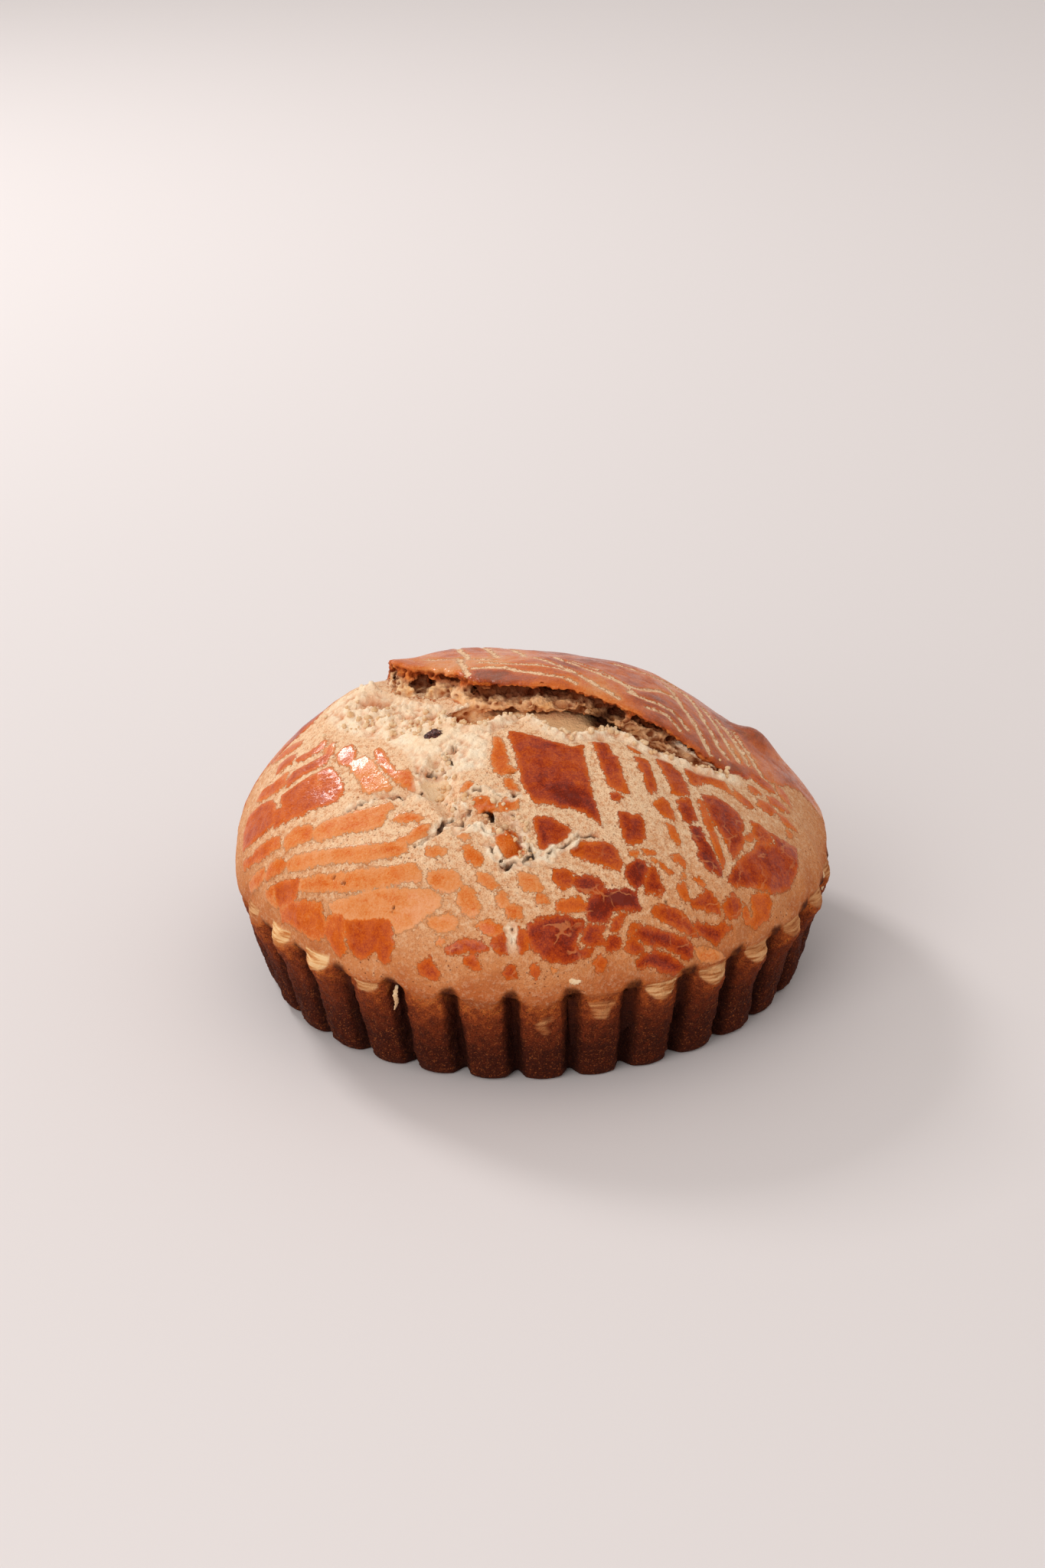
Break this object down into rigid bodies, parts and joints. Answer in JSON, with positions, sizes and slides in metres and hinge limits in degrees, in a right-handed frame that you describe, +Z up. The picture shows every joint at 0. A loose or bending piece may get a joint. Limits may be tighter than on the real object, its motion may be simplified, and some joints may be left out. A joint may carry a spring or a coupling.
{
  "type": "kouign-amann",
  "caption": "Tall round butter cake from a fluted tin, with a domed, scored, egg-washed crust that split open across the top.",
  "frame": {"origin": "on the flat foot, on the middle line of the tin", "axes": "+Z up from the foot through the dome, the pictured front towards -Y, +X to the viewer's right"},
  "size_m": [0.1666, 0.1666, 0.087],
  "materials": {
    "crust": "baked crust, glossy where egg-washed, matt and crumbly where torn",
    "currant": "dark wrinkled skin, satin"
  },
  "bodies": {
    "root": {"cake": "crust", "currant": "currant"}
  },
  "joints": []
}
